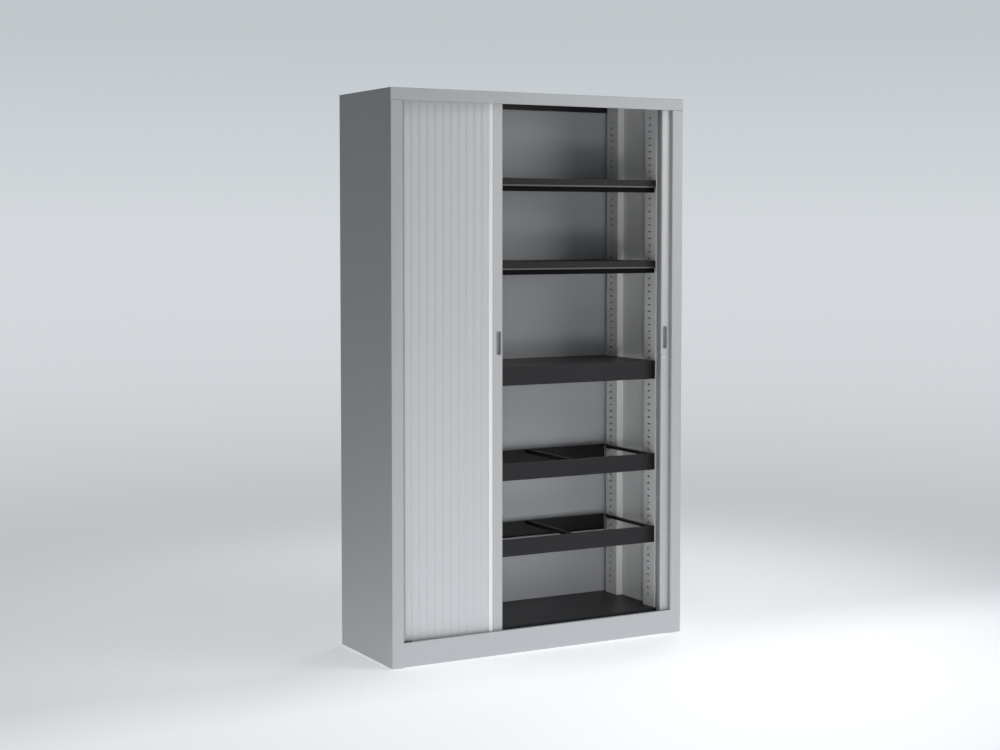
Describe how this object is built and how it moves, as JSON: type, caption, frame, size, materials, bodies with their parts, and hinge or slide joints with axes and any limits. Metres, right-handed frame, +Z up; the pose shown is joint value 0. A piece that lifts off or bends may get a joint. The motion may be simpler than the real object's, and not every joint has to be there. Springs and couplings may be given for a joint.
{
  "type": "tambour cabinet",
  "caption": "Tall steel office cabinet with sideways-running tambour shutters, a locking leading rail, shelves and open frames for hanging files.",
  "frame": {"origin": "middle of the base, level with the surface that the cabinet stands on", "axes": "+Z up, +X to the right seen from the front, +Y from the front to the back"},
  "size_m": [1.2, 0.43, 2],
  "materials": {
    "carcass_paint": "satin powder coat",
    "slat_plastic": "fine matt",
    "rail_aluminium": "satin",
    "shelf_paint": "satin powder coat",
    "track_plastic": "matt",
    "handle_plastic": "fine matt",
    "bright_steel": "zinc plated"
  },
  "bodies": {
    "carcass": {"left_side_panel": "carcass_paint", "right_side_panel": "carcass_paint", "top_panel": "carcass_paint", "plinth": "carcass_paint", "floor_panel": "shelf_paint", "back_panel": "carcass_paint", "front_uprights": "carcass_paint", "rear_uprights": "carcass_paint", "liners": "carcass_paint", "top_track": "track_plastic", "bottom_track": "track_plastic", "upper_shelf": "shelf_paint", "middle_shelf": "shelf_paint", "lower_shelf": "shelf_paint", "upper_filing_frame": "shelf_paint", "lower_filing_frame": "shelf_paint", "frame_cross_bars": "shelf_paint", "file_rails": "shelf_paint", "shelf_supports": "bright_steel", "back_rivets": "bright_steel", "base_glides": "track_plastic"},
    "left_shutter_rail": {"left_rail_ends": "rail_aluminium", "left_rail_grip": "rail_aluminium", "left_rail_flange": "rail_aluminium", "left_handle": "handle_plastic", "left_rail_shoes": "track_plastic", "left_strike": "bright_steel"},
    "right_shutter_rail": {"right_rail_ends": "rail_aluminium", "right_rail_grip": "rail_aluminium", "right_rail_flange": "rail_aluminium", "right_handle": "handle_plastic", "right_rail_shoes": "track_plastic", "lock_housing": "bright_steel"},
    "lock": {"lock_cylinder": "bright_steel", "lock_hook": "bright_steel"},
    "left_slat_1": {"left_slat_1": "slat_plastic"},
    "left_slat_2": {"left_slat_2": "slat_plastic"},
    "left_slat_3": {"left_slat_3": "slat_plastic"},
    "left_slat_4": {"left_slat_4": "slat_plastic"},
    "left_slat_5": {"left_slat_5": "slat_plastic"},
    "left_slat_6": {"left_slat_6": "slat_plastic"},
    "left_slat_7": {"left_slat_7": "slat_plastic"},
    "left_slat_8": {"left_slat_8": "slat_plastic"},
    "left_slat_9": {"left_slat_9": "slat_plastic"},
    "left_slat_10": {"left_slat_10": "slat_plastic"},
    "left_slat_11": {"left_slat_11": "slat_plastic"},
    "left_slat_12": {"left_slat_12": "slat_plastic"},
    "right_slat_1": {"right_slat_1": "slat_plastic"},
    "right_slat_2": {"right_slat_2": "slat_plastic"},
    "right_slat_3": {"right_slat_3": "slat_plastic"},
    "right_slat_4": {"right_slat_4": "slat_plastic"},
    "right_slat_5": {"right_slat_5": "slat_plastic"},
    "right_slat_6": {"right_slat_6": "slat_plastic"},
    "right_slat_7": {"right_slat_7": "slat_plastic"},
    "right_slat_8": {"right_slat_8": "slat_plastic"},
    "right_slat_9": {"right_slat_9": "slat_plastic"},
    "right_slat_10": {"right_slat_10": "slat_plastic"},
    "right_slat_11": {"right_slat_11": "slat_plastic"},
    "right_slat_12": {"right_slat_12": "slat_plastic"}
  },
  "joints": [
    {"name": "left_shutter", "type": "slide", "parent": "carcass", "child": "left_shutter_rail", "axis": [1, 0, 0], "range_m": [-0.36224, 0.15525]},
    {"name": "right_shutter", "type": "slide", "parent": "carcass", "child": "right_shutter_rail", "axis": [-1, 0, 0], "range_m": [0, 0.51749]},
    {"name": "lock_turn", "type": "hinge", "parent": "right_shutter_rail", "child": "lock", "pos_m": [0.52999, -0.199, 1.043], "axis": [0, -1, 0], "range_deg": [0, 90]},
    {"name": "left_slat_1_slide", "type": "slide", "parent": "carcass", "child": "left_slat_1", "axis": [1, 0, 0], "range_m": [-0.35329, 0.15142]},
    {"name": "left_slat_2_slide", "type": "slide", "parent": "carcass", "child": "left_slat_2", "axis": [1, -0.0054, 0], "range_m": [-0.32305, 0.13846]},
    {"name": "left_slat_3_slide", "type": "slide", "parent": "carcass", "child": "left_slat_3", "axis": [0.9999, -0.012, 0], "range_m": [-0.29282, 0.1255]},
    {"name": "left_slat_4_slide", "type": "slide", "parent": "carcass", "child": "left_slat_4", "axis": [0.9998, -0.02, 0], "range_m": [-0.26261, 0.11255]},
    {"name": "left_slat_5_slide", "type": "slide", "parent": "carcass", "child": "left_slat_5", "axis": [0.9995, -0.0302, 0], "range_m": [-0.23242, 0.09961]},
    {"name": "left_slat_6_slide", "type": "slide", "parent": "carcass", "child": "left_slat_6", "axis": [0.9991, -0.0433, 0], "range_m": [-0.20225, 0.08669]},
    {"name": "left_slat_7_slide", "type": "slide", "parent": "carcass", "child": "left_slat_7", "axis": [0.9981, -0.0611, 0], "range_m": [-0.17214, 0.07378]},
    {"name": "left_slat_8_slide", "type": "slide", "parent": "carcass", "child": "left_slat_8", "axis": [0.9963, -0.0864, 0], "range_m": [-0.1421, 0.06091]},
    {"name": "left_slat_9_slide", "type": "slide", "parent": "carcass", "child": "left_slat_9", "axis": [0.9922, -0.125, 0], "range_m": [-0.11221, 0.04809]},
    {"name": "left_slat_10_slide", "type": "slide", "parent": "carcass", "child": "left_slat_10", "axis": [0.9816, -0.191, 0], "range_m": [-0.0826, 0.03541]},
    {"name": "left_slat_11_slide", "type": "slide", "parent": "carcass", "child": "left_slat_11", "axis": [0.9454, -0.326, 0], "range_m": [-0.05377, 0.02305]},
    {"name": "left_slat_12_slide", "type": "slide", "parent": "carcass", "child": "left_slat_12", "axis": [0.7297, -0.6837, 0], "range_m": [-0.02821, 0.0121]},
    {"name": "right_slat_1_slide", "type": "slide", "parent": "carcass", "child": "right_slat_1", "axis": [-1, 0, 0], "range_m": [-0.00001, 0.5047]},
    {"name": "right_slat_2_slide", "type": "slide", "parent": "carcass", "child": "right_slat_2", "axis": [-1, -0.0054, 0], "range_m": [-0.00001, 0.4615]},
    {"name": "right_slat_3_slide", "type": "slide", "parent": "carcass", "child": "right_slat_3", "axis": [-0.9999, -0.012, 0], "range_m": [-0.00001, 0.41831]},
    {"name": "right_slat_4_slide", "type": "slide", "parent": "carcass", "child": "right_slat_4", "axis": [-0.9998, -0.02, 0], "range_m": [-0.00001, 0.37515]},
    {"name": "right_slat_5_slide", "type": "slide", "parent": "carcass", "child": "right_slat_5", "axis": [-0.9995, -0.0302, 0], "range_m": [-0.00001, 0.33202]},
    {"name": "right_slat_6_slide", "type": "slide", "parent": "carcass", "child": "right_slat_6", "axis": [-0.9991, -0.0433, 0], "range_m": [-0.00001, 0.28893]},
    {"name": "right_slat_7_slide", "type": "slide", "parent": "carcass", "child": "right_slat_7", "axis": [-0.9981, -0.0611, 0], "range_m": [-0.00001, 0.24591]},
    {"name": "right_slat_8_slide", "type": "slide", "parent": "carcass", "child": "right_slat_8", "axis": [-0.9963, -0.0864, 0], "range_m": [-0.00001, 0.203]},
    {"name": "right_slat_9_slide", "type": "slide", "parent": "carcass", "child": "right_slat_9", "axis": [-0.9922, -0.125, 0], "range_m": [-0.00001, 0.16029]},
    {"name": "right_slat_10_slide", "type": "slide", "parent": "carcass", "child": "right_slat_10", "axis": [-0.9816, -0.191, 0], "range_m": [-0.00001, 0.118]},
    {"name": "right_slat_11_slide", "type": "slide", "parent": "carcass", "child": "right_slat_11", "axis": [-0.9454, -0.326, 0], "range_m": [-0.00001, 0.07681]},
    {"name": "right_slat_12_slide", "type": "slide", "parent": "carcass", "child": "right_slat_12", "axis": [-0.7297, -0.6837, 0], "range_m": [-0.00001, 0.0403]}
  ],
  "couplings": [
    {"joint": "left_slat_1_slide", "follows": "left_shutter", "ratio": 0.97527},
    {"joint": "left_slat_2_slide", "follows": "left_shutter", "ratio": 0.89178},
    {"joint": "left_slat_3_slide", "follows": "left_shutter", "ratio": 0.80833},
    {"joint": "left_slat_4_slide", "follows": "left_shutter", "ratio": 0.72492},
    {"joint": "left_slat_5_slide", "follows": "left_shutter", "ratio": 0.64157},
    {"joint": "left_slat_6_slide", "follows": "left_shutter", "ratio": 0.55831},
    {"joint": "left_slat_7_slide", "follows": "left_shutter", "ratio": 0.47518},
    {"joint": "left_slat_8_slide", "follows": "left_shutter", "ratio": 0.39226},
    {"joint": "left_slat_9_slide", "follows": "left_shutter", "ratio": 0.30973},
    {"joint": "left_slat_10_slide", "follows": "left_shutter", "ratio": 0.228},
    {"joint": "left_slat_11_slide", "follows": "left_shutter", "ratio": 0.14842},
    {"joint": "left_slat_12_slide", "follows": "left_shutter", "ratio": 0.077853},
    {"joint": "right_slat_1_slide", "follows": "right_shutter", "ratio": 0.97527},
    {"joint": "right_slat_2_slide", "follows": "right_shutter", "ratio": 0.89178},
    {"joint": "right_slat_3_slide", "follows": "right_shutter", "ratio": 0.80833},
    {"joint": "right_slat_4_slide", "follows": "right_shutter", "ratio": 0.72492},
    {"joint": "right_slat_5_slide", "follows": "right_shutter", "ratio": 0.64157},
    {"joint": "right_slat_6_slide", "follows": "right_shutter", "ratio": 0.55831},
    {"joint": "right_slat_7_slide", "follows": "right_shutter", "ratio": 0.47518},
    {"joint": "right_slat_8_slide", "follows": "right_shutter", "ratio": 0.39226},
    {"joint": "right_slat_9_slide", "follows": "right_shutter", "ratio": 0.30973},
    {"joint": "right_slat_10_slide", "follows": "right_shutter", "ratio": 0.228},
    {"joint": "right_slat_11_slide", "follows": "right_shutter", "ratio": 0.14842},
    {"joint": "right_slat_12_slide", "follows": "right_shutter", "ratio": 0.077853}
  ]
}
